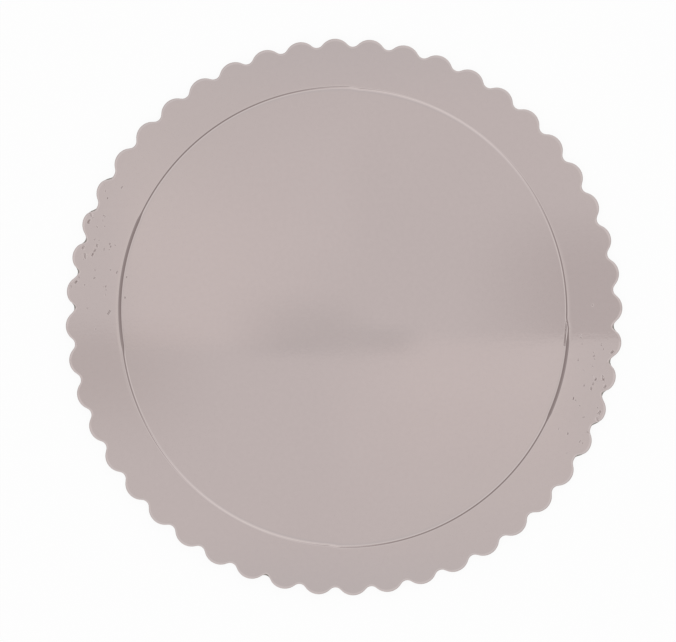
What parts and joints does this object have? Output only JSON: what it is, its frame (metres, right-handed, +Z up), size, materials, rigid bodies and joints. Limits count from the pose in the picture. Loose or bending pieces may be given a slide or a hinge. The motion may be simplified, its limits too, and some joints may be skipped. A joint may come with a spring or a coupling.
{
  "type": "cake board",
  "caption": "Round foil-faced paperboard disc with a scalloped edge and a ring pressed into its face, which carries a cake on show or on the move.",
  "frame": {"origin": "middle of the underside", "axes": "+Z up out of the foil face, +X through the middle of a scallop's crest"},
  "size_m": [0.3, 0.3, 0.003],
  "materials": {
    "foil": "gloss"
  },
  "bodies": {
    "root": {"cake_board": "foil"}
  },
  "joints": []
}
